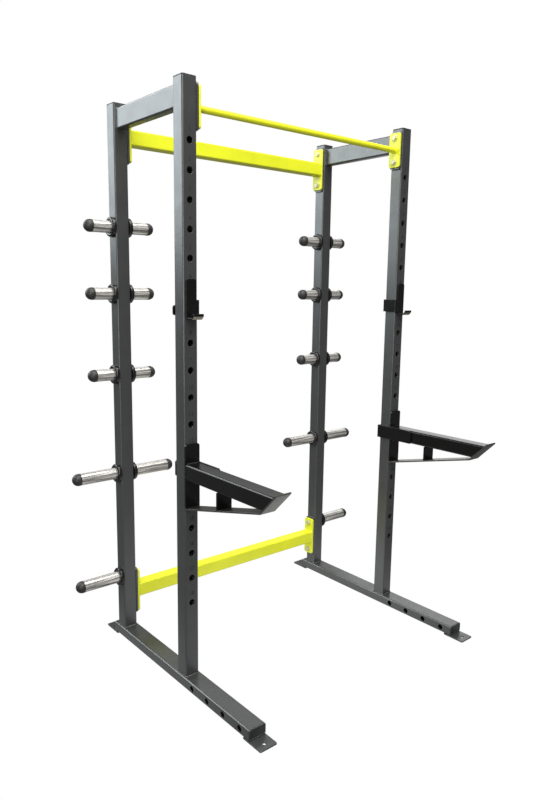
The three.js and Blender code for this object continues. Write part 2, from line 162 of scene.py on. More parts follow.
# Weld beads
WELD_RADIUS = 2.6 * MM
FLANGE_WELD = 1.6 * MM
FOOT_WELD = 1.8 * MM
ARM_WELD = 2.2 * MM
WELD_PITCH = 3.2 * MM  # from ripple to ripple
WELD_STEPS = 5  # rings in a ripple
WELD_SIDES = 8


# ---------------------------------------------------------------- materials


def new_material(name, base, roughness, metallic=0.0):
    """A material with its node tree and its shader."""
    material = bpy.data.materials.new(name)
    material.use_nodes = True
    shader = material.node_tree.nodes["Principled BSDF"]
    shader.inputs["Base Color"].default_value = (*base, 1)
    shader.inputs["Roughness"].default_value = roughness
    shader.inputs["Metallic"].default_value = metallic
    return material, material.node_tree, shader


def noise(tree, scale, detail=3.0, stretch=(1, 1, 1)):
    """Noise fixed to the object, at the given number of features per metre."""
    place = tree.nodes.new("ShaderNodeTexCoord")
    mapping = tree.nodes.new("ShaderNodeMapping")
    mapping.inputs["Scale"].default_value = stretch
    texture = tree.nodes.new("ShaderNodeTexNoise")
    texture.inputs["Scale"].default_value = scale
    texture.inputs["Detail"].default_value = detail
    tree.links.new(place.outputs["Object"], mapping.inputs["Vector"])
    tree.links.new(mapping.outputs["Vector"], texture.inputs["Vector"])
    return texture.outputs["Fac"]


def remap(tree, value, low, high, start=0.35, end=0.65):
    """Turns a noise value into a number from low to high."""
    node = tree.nodes.new("ShaderNodeMapRange")
    node.inputs["From Min"].default_value = start
    node.inputs["From Max"].default_value = end
    node.inputs["To Min"].default_value = low
    node.inputs["To Max"].default_value = high
    tree.links.new(value, node.inputs["Value"])
    return node.outputs["Result"]


def blend_colours(tree, factor, first, second):
    node = tree.nodes.new("ShaderNodeMix")
    node.data_type = "RGBA"
    node.inputs["A"].default_value = (*first, 1)
    node.inputs["B"].default_value = (*second, 1)
    tree.links.new(factor, node.inputs["Factor"])
    return node.outputs["Result"]


def bump(tree, shader, height, strength, distance):
    node = tree.nodes.new("ShaderNodeBump")
    node.inputs["Strength"].default_value = strength
    node.inputs["Distance"].default_value = distance
    tree.links.new(height, node.inputs["Height"])
    tree.links.new(node.outputs["Normal"], shader.inputs["Normal"])


def powder_coat(
    name, base, shade, roughness, metallic=0.0, peel_scale=420, peel=0.05, specular=0.5
):
    """Baked paint: fine orange peel, faint cloudiness of colour and of gloss."""
    material, tree, shader = new_material(name, base, roughness, metallic)
    shader.inputs["Specular IOR Level"].default_value = specular
    cloud = remap(tree, noise(tree, 14, 4), 0, 1, 0.3, 0.7)
    tree.links.new(blend_colours(tree, cloud, base, shade), shader.inputs["Base Color"])
    gloss = remap(tree, noise(tree, 22, 5), roughness - 0.02, roughness + 0.03)
    tree.links.new(gloss, shader.inputs["Roughness"])
    bump(tree, shader, noise(tree, peel_scale, 2), peel, 0.0003)
    return material


def chrome_sleeve():
    """Turned and chromed tube: bright, with fine grinding grooves along it as bumps, light and
    dark streaks along it painted into the colour as painted reflections, and dull, scuffed
    patches.
    """
    material, tree, shader = new_material("chrome", (0.80, 0.78, 0.74), 0.3, 0.62)
    # painted reflection: this streak noise turns the colour dark and bright along the sleeve,
    # standing for surroundings reflected in chrome; it also bumps the grinding grooves
    grinding_and_painted_streaks = noise(tree, 190, 3, stretch=(0.018, 1, 1))
    tone = blend_colours(
        tree, remap(tree, grinding_and_painted_streaks, 0, 1, 0.42, 0.58), (0.24, 0.23, 0.215), (0.92, 0.90, 0.85)
    )
    scuffs = remap(tree, noise(tree, 420, 3, stretch=(0.5, 1, 1)), 0, 1, 0.62, 0.70)
    worn_tone = blend_colours(tree, scuffs, (1, 1, 1), (0.12, 0.11, 0.10))
    tree.links.new(tone, worn_tone.node.inputs["A"])
    tree.links.new(worn_tone, shader.inputs["Base Color"])
    worn = remap(tree, noise(tree, 70, 5, stretch=(0.3, 1, 1)), 0.24, 0.42)
    tree.links.new(worn, shader.inputs["Roughness"])
    bump(tree, shader, grinding_and_painted_streaks, 0.08, 0.0004)
    return material


def moulded(name, base, roughness, grain=500):
    """Moulded rubber or plastic with a fine grain."""
    material, tree, shader = new_material(name, base, roughness)
    shade = tuple(0.6 * c for c in base)
    cloud = remap(tree, noise(tree, 35, 4), 0, 1)
    tree.links.new(blend_colours(tree, cloud, base, shade), shader.inputs["Base Color"])
    dull = remap(tree, noise(tree, 90, 4), roughness - 0.07, roughness + 0.07)
    tree.links.new(dull, shader.inputs["Roughness"])
    bump(tree, shader, noise(tree, grain, 3), 0.25, 0.0003)
    return material


def zinc():
    """Zinc plating, its colour tinted pale yellow."""
    material, tree, shader = new_material("zinc", (0.6, 0.6, 0.36), 0.4, 0.35)
    patches = remap(tree, noise(tree, 220, 3), 0, 1)
    tone = blend_colours(tree, patches, (0.60, 0.60, 0.38), (0.46, 0.47, 0.26))
    tree.links.new(tone, shader.inputs["Base Color"])
    gloss = remap(tree, noise(tree, 300, 4), 0.34, 0.5)
    tree.links.new(gloss, shader.inputs["Roughness"])
    bump(tree, shader, noise(tree, 1200, 2), 0.1, 0.0002)
    return material


FRAME_GREY = powder_coat(
    "frame_grey", (0.121, 0.125, 0.124), (0.112, 0.116, 0.115), 0.34, metallic=0.73
)
LIME_YELLOW = powder_coat("lime_yellow", (0.73, 0.77, 0.02), (0.68, 0.72, 0.018), 0.38)
GLOSS_BLACK = powder_coat(
    "gloss_black",
    (0.005, 0.005, 0.0047),
    (0.0035, 0.0035, 0.0033),
    0.22,
    peel_scale=260,
    peel=0.02,
    specular=0.36,
)
SATIN_BLACK = powder_coat(
    "satin_black", (0.15, 0.148, 0.136), (0.12, 0.118, 0.11), 0.32, 0.85, peel_scale=260, peel=0.03
)
# painted highlight: light beige metal for the J-hook lip's slanted underside, standing for the
# light falling on it
LIP_PAINTED_HIGHLIGHT = powder_coat(
    "lip_painted_highlight", (0.46, 0.43, 0.36), (0.20, 0.185, 0.15), 0.36, 0.8, peel_scale=260
)
CHROME = chrome_sleeve()
RUBBER = moulded("rubber", (0.028, 0.028, 0.027), 0.5)
COLLAR_BLACK = moulded("collar_black", (0.008, 0.008, 0.008), 0.24, 700)
CAP_BLACK = moulded("cap_black", (0.03, 0.031, 0.033), 0.52)
ZINC = zinc()
BARE_STEEL = moulded("bare_steel", (0.22, 0.22, 0.21), 0.45)
MARK_PAINT = moulded("mark_paint", (0.024, 0.024, 0.024), 0.6)


# ---------------------------------------------------------------- mesh tools


def arc(centre, radius, start, end, steps=ARC_STEPS):
    """Points round an arc, angles in degrees."""
    angles = [math.radians(start + (end - start) * i / steps) for i in range(steps + 1)]
    return [(centre[0] + radius * math.cos(a), centre[1] + radius * math.sin(a)) for a in angles]


def rounded_rectangle(width, height, radius, steps=ARC_STEPS):
    x, y = width / 2 - radius, height / 2 - radius
    points = []
    for quarter, (cx, cy) in enumerate([(x, y), (-x, y), (-x, -y), (x, -y)]):
        points += arc((cx, cy), radius, 90 * quarter, 90 * quarter + 90, steps)
    return points


def circle(radius, steps=48):
    return arc((0, 0), radius, 0, 360 - 360 / steps, steps - 1)


def rounded_path(points, radius, steps=6):
    """A line of points whose inner corners are rounded with arcs of the given radius."""
    line = [Vector(p) for p in points]
    result = [line[0]]
    for before, corner, after in zip(line, line[1:], line[2:]):
        into, out = (corner - before).normalized(), (after - corner).normalized()
        turn = into.angle(out)
        trim = radius * math.tan(turn / 2)
        side = 1 if into.x * out.y - into.y * out.x > 0 else -1
        centre = corner - into * trim + side * radius * Vector((-into.y, into.x))
        for i in range(steps + 1):
            arm = Matrix.Rotation(side * turn * i / steps, 2) @ (corner - into * trim - centre)
            result.append(centre + arm)
    result.append(line[-1])
    return result


def thick_line(points, thickness):
    """Outline of a flat bar whose middle follows the points."""
    left, right = [], []
    for i, point in enumerate(points):
        into = (point - points[i - 1]).normalized() if i else None
        out = (points[i + 1] - point).normalized() if i < len(points) - 1 else None
        along = (into + out).normalized() if into and out else into or out
        stretch = 1 / along.dot(into) if into and out else 1
        across = Vector((-along.y, along.x)) * (stretch * thickness / 2)
        left.append(point + across)
        right.append(point - across)
    return [tuple(p) for p in left + right[::-1]]


AXES = {  # where an outline's own x, its y and its depth point
    "x": Matrix(((0, 0, 1), (1, 0, 0), (0, 1, 0))),
    "y": Matrix(((1, 0, 0), (0, 0, -1), (0, 1, 0))),
    "z": Matrix.Identity(3),
}


def prism(outline, low, high, axis="z", hole=None):
    """A bmesh of an outline drawn out from low to high, with an inner outline left open."""
    bm = bmesh.new()
    turn = AXES[axis]
    if axis == "y":
        low, high = -high, -low

    def ring(points, depth):
        return [bm.verts.new(turn @ Vector((x, y, depth))) for x, y in points]

    def walls(bottom, top, outward):
        for i in range(len(bottom)):
            j = (i + 1) % len(bottom)
            quad = (bottom[i], bottom[j], top[j], top[i])
            bm.faces.new(quad if outward else quad[::-1])

    bottom, top = ring(outline, low), ring(outline, high)
    walls(bottom, top, True)
    if hole is None:
        bm.faces.new(top)
        bm.faces.new(bottom[::-1])
    else:
        inner_bottom, inner_top = ring(hole, low), ring(hole, high)
        walls(inner_bottom, inner_top, False)
        walls(top, inner_top, True)
        walls(bottom, inner_bottom, False)
    bmesh.ops.recalc_face_normals(bm, faces=bm.faces)
    return bm


def turned(profile, steps=48):
    """A bmesh of a profile turned about the X axis: points of (along X, radius)."""
    bm = bmesh.new()
    rings = []
    for along, radius in profile:
        if radius == 0:
            rings.append([bm.verts.new((along, 0, 0))])
        else:
            rings.append([bm.verts.new((along, y, z)) for y, z in circle(radius, steps)])
    for a, b in zip(rings, rings[1:]):
        for i in range(steps):
            j = (i + 1) % steps
            corners = [a[i % len(a)], a[j % len(a)], b[j % len(b)], b[i % len(b)]]
            unique = list(dict.fromkeys(corners))
            bm.faces.new(unique)
    bmesh.ops.recalc_face_normals(bm, faces=bm.faces)
    return bm


def joined(*meshes):
    """One bmesh of several, each left as its own shell."""
    result = bmesh.new()
    for bm in meshes:
        piece = bpy.data.meshes.new("part")
        bm.to_mesh(piece)
        bm.free()
        result.from_mesh(piece)
        bpy.data.meshes.remove(piece)
    return result


def moved(bm, offset):
    bmesh.ops.translate(bm, verts=bm.verts, vec=Vector(offset))
    return bm


def mirrored(bm, inward):
    """Drawn for the left frame, where inward is +1; turned over in X for the right."""
    if inward < 0:
        bmesh.ops.scale(bm, verts=bm.verts, vec=(-1, 1, 1))
        bmesh.ops.reverse_faces(bm, faces=bm.faces)
    return bm


def loose(name, bm):
    """A bmesh as an object in the scene, with no material yet."""
    mesh = bpy.data.meshes.new(name)
    bm.to_mesh(mesh)
    bm.free()
    obj = bpy.data.objects.new(name, mesh)
    bpy.context.scene.collection.objects.link(obj)
    return obj


def bake_modifiers(obj):
    """Applies an object's modifiers to its mesh."""
    graph = bpy.context.evaluated_depsgraph_get()
    mesh = bpy.data.meshes.new_from_object(obj.evaluated_get(graph))
    old = obj.data
    obj.modifiers.clear()
    obj.data = mesh
    bpy.data.meshes.remove(old)


def boolean(obj, bm, operation):
    """Cuts an object with a bmesh, or keeps only what both share."""
    tool = loose("tool", bm)
    modifier = obj.modifiers.new("cut", "BOOLEAN")
    modifier.operation = operation
    modifier.solver = "EXACT"
    modifier.use_self = True
    modifier.object = tool
    bake_modifiers(obj)
    bpy.data.objects.remove(tool)


def finished(obj, material, body, nodes=(), edge=EDGE, place=(0, 0, 0)):
    """Softens the sharp edges, sets smooth shading and hands the piece over to the frame.

    The material is None for a piece that already has its own.
    """
    if material:
        obj.data.materials.append(material)
    obj.data.polygons.foreach_set("use_smooth", [True] * len(obj.data.polygons))
    if edge:
        bevel = obj.modifiers.new("edge", "BEVEL")
        bevel.width = edge
        bevel.segments = 2
        bevel.limit_method = "ANGLE"
        bevel.angle_limit = math.radians(35)
    normals = obj.modifiers.new("normals", "WEIGHTED_NORMAL")
    normals.keep_sharp = True
    bake_modifiers(obj)
    obj.location = place
    if nodes:
        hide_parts(*nodes)
    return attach(obj, body)


def weld(
    name,
    path,
    normal,
    body="rack",
    material=FRAME_GREY,
    closed=True,
    radius=WELD_RADIUS,
):
    """A rippled weld bead along a flat path; normal is the direction its plane faces."""
    points = [Vector(p) for p in path]
    if closed:
        points.append(points[0])
    spots = []
    carried = 0.0
    step = WELD_PITCH / WELD_STEPS
    for a, b in zip(points, points[1:]):
        length = (b - a).length
        while carried <= length:
            spots.append(a.lerp(b, carried / length) if length else a)
            carried += step
        carried -= length
    up = Vector(normal).normalized()
    bm = bmesh.new()
    rings = []
    count = len(spots)
    for i, spot in enumerate(spots):
        after = spots[(i + 1) % count] if closed else spots[min(i + 1, count - 1)]
        before = spots[i - 1] if closed else spots[max(i - 1, 0)]
        across = (after - before).normalized().cross(up)
        ripple = 0.13 * math.cos(2 * math.pi * i / WELD_STEPS)
        unevenness = 0.05 * math.sin(i * 0.37)
        swell = radius * (1 + ripple + unevenness)
        ring = []
        for k in range(WELD_SIDES):
            angle = 2 * math.pi * k / WELD_SIDES
            arm = math.cos(angle) * across + math.sin(angle) * up
            ring.append(bm.verts.new(spot + swell * arm))
        rings.append(ring)
    pairs = list(zip(rings, rings[1:])) + ([(rings[-1], rings[0])] if closed else [])
    for a, b in pairs:
        for k in range(WELD_SIDES):
            after = (k + 1) % WELD_SIDES
            bm.faces.new((a[k], a[after], b[after], b[k]))
    if not closed:
        bm.faces.new(rings[0])
        bm.faces.new(rings[-1])
    bmesh.ops.recalc_face_normals(bm, faces=bm.faces)
    return finished(loose(name, bm), material, body, edge=0)


def outline_at(outline, axis, level, centre=(0, 0)):
    """An outline as points in space, on the plane where axis has the given value."""
    points = []
    for x, y in outline:
        coordinates = [x + centre[0], y + centre[1]]
        coordinates.insert("xyz".index(axis), level)
        points.append(Vector(coordinates))
    return points


# ---------------------------------------------------------------- places from the frame


def middle(node):
    """The middle of a node's box."""
    low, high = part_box(node)
    return (low + high) / 2


def size(node):
    """The three sides of a node's box."""
    low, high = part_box(node)
    return high - low


UPRIGHT = size("left_front_upright").y
FLANGE = size("left_front_upright").x - UPRIGHT  # its thickness
SIDES = (("left", 1), ("right", -1))


# ---------------------------------------------------------------- frame


def square_tube(width, height, corner, wall, low, high, axis="z"):
    """A rounded tube with open ends, from low to high along its axis."""
    outer = rounded_rectangle(width, height, corner)
    inner = rounded_rectangle(width - 2 * wall, height - 2 * wall, max(corner - wall, 0.8 * MM))
    return prism(outer, low, high, axis, hole=inner)


def face_plate(height, thickness, corner, holes):
    """A plate in the YZ plane, from x = 0 to its thickness, with round holes up its middle."""
    obj = loose("plate", prism(rounded_rectangle(UPRIGHT, height, corner), 0, thickness, "x"))
    for level in holes:
        cutter = prism(circle(BOLT_HOLE / 2, 32), -THROUGH, thickness + THROUGH, "x")
        boolean(obj, moved(cutter, (0, 0, level)), "DIFFERENCE")
    return obj


def upright(name, joints, holes):
    """One upright: the tube, its row of holes, the flanges of its joints and their welds."""
    side, inward = ("left", 1) if name.startswith("left") else ("right", -1)
    low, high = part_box(name)
    x = middle(f"{side}_top_rail").x
    y = (low.y + high.y) / 2
    half = UPRIGHT / 2
    outline = rounded_rectangle(UPRIGHT, UPRIGHT, UPRIGHT_CORNER)
    shape = square_tube(UPRIGHT, UPRIGHT, UPRIGHT_CORNER, TUBE_WALL, low.z, high.z)
    tube = loose(name + "_tube", shape)
    if holes:
        cutters = [
            moved(
                prism(circle(HOLE_DIAMETER / 2), -half - THROUGH, -half + 2 * THROUGH, "y"),
                (0, 0, FIRST_HOLE + i * HOLE_PITCH),
            )
            for i in range(holes)
        ]
        boolean(tube, joined(*cutters), "DIFFERENCE")
    tube.data.materials.append(FRAME_GREY)
    tube.data.materials.append(BARE_STEEL)
    inner_half = half - TUBE_WALL + 0.1 * MM
    for face in tube.data.polygons:  # no paint reaches the inside of the tube
        face.material_index = int(max(abs(face.center.x), abs(face.center.y)) < inner_half)
    finished(tube, None, "rack", [name], 0.6 * MM, (x, y, 0))
    weld(name + "_base_weld", outline_at(outline, "z", low.z, (x, y)), (0, 0, 1))
    for joint, plate_node in joints:
        level, height = middle(plate_node).z, size(plate_node).z + 2 * FLANGE_MARGIN
        spacing = BOLT_SPACING[joint]
        flange = face_plate(height, FLANGE, FLANGE_CORNER, (-spacing / 2, spacing / 2))
        flange.name = f"{name}_{joint}_flange"
        face_x = x + inward * half
        start = face_x if inward > 0 else face_x - FLANGE
        finished(flange, FRAME_GREY, "rack", place=(start, y, level))
        reach = half - 9 * MM
        for end in (-1, 1):
            edge = level + end * height / 2
            path = [(face_x, y - reach, edge), (face_x, y + reach, edge)]
            bead = f"{name}_{joint}_weld_{end}"
            weld(bead, path, (1, 0, 0), closed=False, radius=FLANGE_WELD)


def foot_rail(side):
    """The flat tube on the floor, with its side holes and the seams of its foot plates."""
    name = f"{side}_foot_rail"
    low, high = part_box(name)
    centre, extent = middle(name), size(name)
    shape = square_tube(extent.x, extent.z, RAIL_CORNER, TUBE_WALL, low.y, high.y, "y")
    tube = loose(name + "_tube", shape)
    front_upright = middle(f"{side}_front_upright").y
    reach = extent.x / 2 + THROUGH
    cutters = [
        moved(
            prism(circle(RAIL_HOLE_DIAMETER / 2), -reach, reach, "x"),
            (0, front_upright - distance, 0),
        )
        for distance in RAIL_HOLES
    ]
    boolean(tube, joined(*cutters), "DIFFERENCE")
    finished(tube, FRAME_GREY, "rack", [name], 0.6 * MM, (centre.x, 0, centre.z))
    for end in ("front", "rear"):
        plate = f"{side}_{end}_foot_plate"
        inner = high.y if end == "rear" else low.y
        length = (middle(plate).y - inner) * 0.55
        for edge in (-1, 1):
            x = centre.x + edge * (extent.x / 2 - 1.5 * MM)
            path = [(x, inner - length, low.z), (x, inner, low.z)]
            weld(f"{plate}_weld_{edge}", path, (0, 0, 1), closed=False, radius=FOOT_WELD)


def rail_cap(side, end):
    """Moulded end cap: a rounded rim over the tube's end, a recessed face and its plug."""
    name = f"{side}_{end}_rail_cap"
    low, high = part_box(name)
    centre, extent = middle(name), size(name)
    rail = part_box(f"{side}_foot_rail")
    outward = 1 if end == "rear" else -1
    seam = rail[1].y + SEAM if outward > 0 else rail[0].y - SEAM
    face = high.y if outward > 0 else low.y
    recess = face - outward * CAP_RECESS
    cover = rounded_rectangle(extent.x, extent.z, RAIL_CORNER)
    opening = rounded_rectangle(extent.x - 2 * CAP_RIM, extent.z - 2 * CAP_RIM, 3 * MM)
    rim = loose(name + "_rim", prism(cover, min(seam, face), max(seam, face), "y", hole=opening))
    place = (centre.x, 0, centre.z)
    finished(rim, FRAME_GREY, "rack", (), 1.2 * MM, place)
    wall = TUBE_WALL + CAP_PLAY
    back = low.y if outward > 0 else high.y
    inner = rounded_rectangle(extent.x - 2 * wall, extent.z - 2 * wall, 2 * MM)
    plug = prism(inner, min(back, seam), max(back, seam), "y")
    inside = 2 * CAP_RIM + MM
    cover_plate = rounded_rectangle(extent.x - inside, extent.z - inside, 3 * MM)
    panel = prism(cover_plate, min(seam, recess), max(seam, recess), "y")
    obj = loose(name + "_face", joined(panel, plug))
    finished(obj, CAP_BLACK, "rack", [name], 0.5 * MM, place)


def foot_plate(side, end):
    """A plate under an end of the rail, with its anchor hole."""
    name = f"{side}_{end}_foot_plate"
    centre, extent = middle(name), size(name)
    outward = 1 if end == "rear" else -1
    outline = rounded_rectangle(extent.x, extent.y, FOOT_PLATE_CORNER)
    obj = loose(name + "_steel", prism(outline, 0, extent.z))
    hole = prism(circle(ANCHOR_HOLE_DIAMETER / 2, 40), -THROUGH, extent.z + THROUGH)
    boolean(obj, moved(hole, (0, outward * (extent.y / 2 - ANCHOR_INSET), 0)), "DIFFERENCE")
    finished(obj, FRAME_GREY, "rack", [name], 0.8 * MM, (centre.x, centre.y, 0))


def upright_cap(side, end):
    """Square insert cap: a low crowned top over the tube's end, and its plug."""
    name = f"{side}_{end}_upright_cap"
    low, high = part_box(name)
    centre = middle(name)
    tube_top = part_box(f"{side}_{end}_upright")[1].z
    outline = rounded_rectangle(UPRIGHT, UPRIGHT, UPRIGHT_CORNER)
    bm = bmesh.new()
    rings = []
    top = high.z - tube_top
    crown = [
        (1.0, SEAM),
        (1.0, top - 1.6 * MM),
        (0.985, top - 0.7 * MM),
        (0.95, top - 0.2 * MM),
        (0.86, top),
    ]
    for scale, level in crown:
        rings.append([bm.verts.new((x * scale, y * scale, level)) for x, y in outline])
    for a, b in zip(rings, rings[1:]):
        for i in range(len(a)):
            j = (i + 1) % len(a)
            bm.faces.new((a[i], a[j], b[j], b[i]))
    bm.faces.new(rings[-1])
    bm.faces.new(rings[0][::-1])
    insert = UPRIGHT - 2 * (TUBE_WALL + CAP_PLAY)
    plug = prism(rounded_rectangle(insert, insert, 4 * MM), low.z - tube_top, SEAM)
    obj = loose(name + "_top", joined(bm, plug))
    place = (centre.x, centre.y, tube_top)
    finished(obj, CAP_BLACK, "rack", [name], 0.4 * MM, place)


def top_rail(side):
    """The tube that joins the two uprights near their tops, welded at both ends."""
    name = f"{side}_top_rail"
    low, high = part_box(name)
    centre, extent = middle(name), size(name)
    shape = square_tube(extent.x, extent.z, RAIL_CORNER, TUBE_WALL, low.y, high.y, "y")
    obj = loose(name + "_tube", shape)
    finished(obj, FRAME_GREY, "rack", [name], 0.5 * MM, (centre.x, 0, centre.z))
    outline = rounded_rectangle(extent.x, extent.z, RAIL_CORNER)
    for end, level in (("front", low.y), ("rear", high.y)):
        path = outline_at(outline, "y", level, (centre.x, centre.z))
        weld(f"{name}_{end}_weld", path, (0, 1, 0))


def hole_number(side, index):
    """The number of a hole, counted down from the top one, stamped on the face above it."""
    number = HOLE_COUNT - index
    text = bpy.data.curves.new(f"{side}_mark_{number}", "FONT")
    text.body = str(number)
    text.size = NUMBER_SIZE
    text.extrude = NUMBER_RELIEF
    text.offset = NUMBER_STROKE
    text.align_x = "CENTER"
    text.align_y = "CENTER"
    carrier = bpy.data.objects.new(text.name, text)
    bpy.context.scene.collection.objects.link(carrier)
    graph = bpy.context.evaluated_depsgraph_get()
    mesh = bpy.data.meshes.new_from_object(carrier.evaluated_get(graph))
    bpy.data.objects.remove(carrier)
    mesh.transform(Matrix.Rotation(math.pi / 2, 4, "X"))
    obj = bpy.data.objects.new(f"{side}_hole_number_{number}", mesh)
    bpy.context.scene.collection.objects.link(obj)
    low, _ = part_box(f"{side}_front_upright")
    x = middle(f"{side}_top_rail").x
    level = FIRST_HOLE + index * HOLE_PITCH + NUMBER_RISE
    finished(obj, MARK_PAINT, "rack", edge=0, place=(x, low.y, level))


# ---------------------------------------------------------------- crossmembers and bolts


def crossmember(name, joint, round_bar):
    """A bar or tube across the rack, with an end plate welded to each end."""
    centre, extent = middle(name), size(name)
    reach = extent.x / 2 - PLATE_THICKNESS
    spacing = BOLT_SPACING[joint]
    if round_bar:
        outline = circle(PULL_UP_DIAMETER / 2, 64)
        bar = loose(name + "_bar", prism(outline, -reach - MM, reach + MM, "x"))
    else:
        outline = rounded_rectangle(CROSS_SIZE, CROSS_SIZE, CROSS_CORNER)
        ends = (-reach - MM, reach + MM)
        tube = square_tube(CROSS_SIZE, CROSS_SIZE, CROSS_CORNER, TUBE_WALL, *ends, "x")
        bar = loose(name + "_bar", tube)
    finished(bar, LIME_YELLOW, "rack", [name], 0.4 * MM, tuple(centre))
    for side, inward in SIDES:
        plate = face_plate(extent.z, PLATE_THICKNESS, PLATE_CORNER, (-spacing / 2, spacing / 2))
        plate.name = f"{name}_{side}_plate"
        start = -extent.x / 2 if inward > 0 else extent.x / 2 - PLATE_THICKNESS
        place = (centre.x + start, centre.y, centre.z)
        finished(plate, LIME_YELLOW, "rack", (), 1.2 * MM, place)
        path = outline_at(outline, "x", centre.x - inward * reach, (centre.y, centre.z))
        weld(f"{name}_{side}_weld", path, (1, 0, 0), "rack", LIME_YELLOW)


def bolt(name, inward):
    """Hexagon bolt with a chamfered head, on its washer."""
    low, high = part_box(name)
    centre = middle(name)
    head_end = WASHER_THICKNESS + BOLT_HEAD
    hexagon = circle(ACROSS_FLATS / math.sqrt(3), 6)
    washer_edge = WASHER_RADIUS - 0.6 * MM
    washer = turned(
        [
            (0, WASHER_BORE),
            (0, washer_edge),
            (0.5 * MM, WASHER_RADIUS),
            (WASHER_THICKNESS - 0.5 * MM, WASHER_RADIUS),
            (WASHER_THICKNESS, washer_edge),
            (WASHER_THICKNESS, WASHER_BORE),
            (0, WASHER_BORE),
        ]
    )
    head = loose("head", prism(hexagon, WASHER_THICKNESS, head_end, "x"))
    dome = turned(  # cuts the chamfer round the head's corners
        [
            (WASHER_THICKNESS - MM, 0),
            (WASHER_THICKNESS - MM, 12 * MM),
            (head_end - 1.5 * MM, 11 * MM),
            (head_end, 8.9 * MM),
            (head_end, 0),
        ]
    )
    boolean(head, dome, "INTERSECT")
    chamfered = bmesh.new()
    chamfered.from_mesh(head.data)
    bpy.data.objects.remove(head)
    shank_length = (high.x - low.x) - head_end
    shank = turned(
        [
            (-shank_length, 0),
            (-shank_length, BOLT_RADIUS - MM),
            (MM - shank_length, BOLT_RADIUS),
            (WASHER_THICKNESS, BOLT_RADIUS),
            (WASHER_THICKNESS, 0),
        ],
        24,
    )
    bm = mirrored(joined(washer, chamfered, shank), inward)
    face = high.x - head_end if inward > 0 else low.x + head_end
    obj = loose(name + "_steel", bm)
    finished(obj, ZINC, "rack", [name], 0.3 * MM, (face, centre.y, centre.z))


# ---------------------------------------------------------------- storage pegs


def storage_peg(name, direction):
    """Black collar, chromed sleeve and rubber end cap, drawn along +X from the upright's face."""
    low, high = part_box(name)
    centre, length = middle(name), high.x - low.x
    base = low.x if direction > 0 else high.x
    sleeve = SLEEVE_DIAMETER / 2
    cap = sleeve + PEG_CAP_WALL
    rim = size(name).z / 2
    dome_start = length - cap
    skirt = dome_start - PEG_CAP_SKIRT
    rounding = arc(
        (COLLAR_THICKNESS - COLLAR_ROUNDING, rim - COLLAR_ROUNDING), COLLAR_ROUNDING, 90, 0, 6
    )
    collar = turned(
        [
            (0, sleeve - MM),
            (0, rim - MM),
            (MM, rim),
            *rounding,
            (COLLAR_THICKNESS, sleeve + 4 * MM),
            (COLLAR_THICKNESS - 1.2 * MM, sleeve + 3 * MM),
            (COLLAR_THICKNESS - 1.2 * MM, sleeve - MM),
            (0, sleeve - MM),
        ],
        64,
    )
    bore, sleeve_end = sleeve - SLEEVE_WALL, skirt + 4 * MM
    tube = turned([(MM, bore), (MM, sleeve), (sleeve_end, sleeve), (sleeve_end, bore)], 64)
    dome = arc((dome_start, 0), cap, 90, 6, 14)
    rubber = turned(
        [
            (skirt + 0.6 * MM, sleeve - 3 * MM),
            (skirt, sleeve + 0.2 * MM),
            (skirt, cap - 0.8 * MM),
            (skirt + 0.8 * MM, cap),
            *dome,
            (length, 0),
        ],
        64,
    )
    for piece, bm, material in (
        ("collar", collar, COLLAR_BLACK),
        ("sleeve", tube, CHROME),
        ("end_cap", rubber, RUBBER),
    ):
        obj = loose(f"{name}_{piece}", mirrored(bm, direction))
        nodes = [name] if piece == "sleeve" else []
        finished(obj, material, "rack", nodes, 0, (base, centre.y, centre.z))


# ---------------------------------------------------------------- brackets


def return_tab(height, tip_height, overshoot, thickness):
    """The tab behind the upright, drawn for the left frame, with its two tip corners rounded."""
    half = UPRIGHT / 2
    start, tip = half + BRACKET_GAP, -half - overshoot
    outline = [
        (start, 0),
        *arc((tip + TAB_CORNER, TAB_CORNER), TAB_CORNER, 270, 180),
        *arc((tip + TAB_CORNER, tip_height - TAB_CORNER), TAB_CORNER, 180, 90),
    ]
    if tip_height < height:
        outline += [(-half / 2, tip_height), (half / 2, height)]
    outline.append((start, height))
    return prism(outline[::-1], start, start + thickness, "y")


def stud(back, depth):
    """A stud with a rounded nose, along +Y from the back face of its plate."""
    radius = STUD_DIAMETER / 2
    end = back + depth
    nose = arc((end - STUD_NOSE, radius - STUD_NOSE), STUD_NOSE, 90, 0, 4)
    bm = turned([(back - MM, 0), (back - MM, radius), *nose, (end, 0)])
    to_y = Matrix.Rotation(math.pi / 2, 3, "Z")
    bmesh.ops.rotate(bm, verts=bm.verts, cent=(0, 0, 0), matrix=to_y)
    return bm


def joint_place(name):
    """Where a joint's axis lies, and the body that it moves."""
    joint = next(j for j in frame["joints"] if j["name"] == name)
    return Vector(joint["pos_m"]), joint["child"]


def plate_outline(width, top, bottom, corner):
    """A plate seen from the front, its two top corners rounded."""
    edge = width / 2
    return [
        *arc((edge - corner, top - corner), corner, 0, 90),
        *arc((-edge + corner, top - corner), corner, 90, 180),
        (-edge, bottom),
        (edge, bottom),
    ]


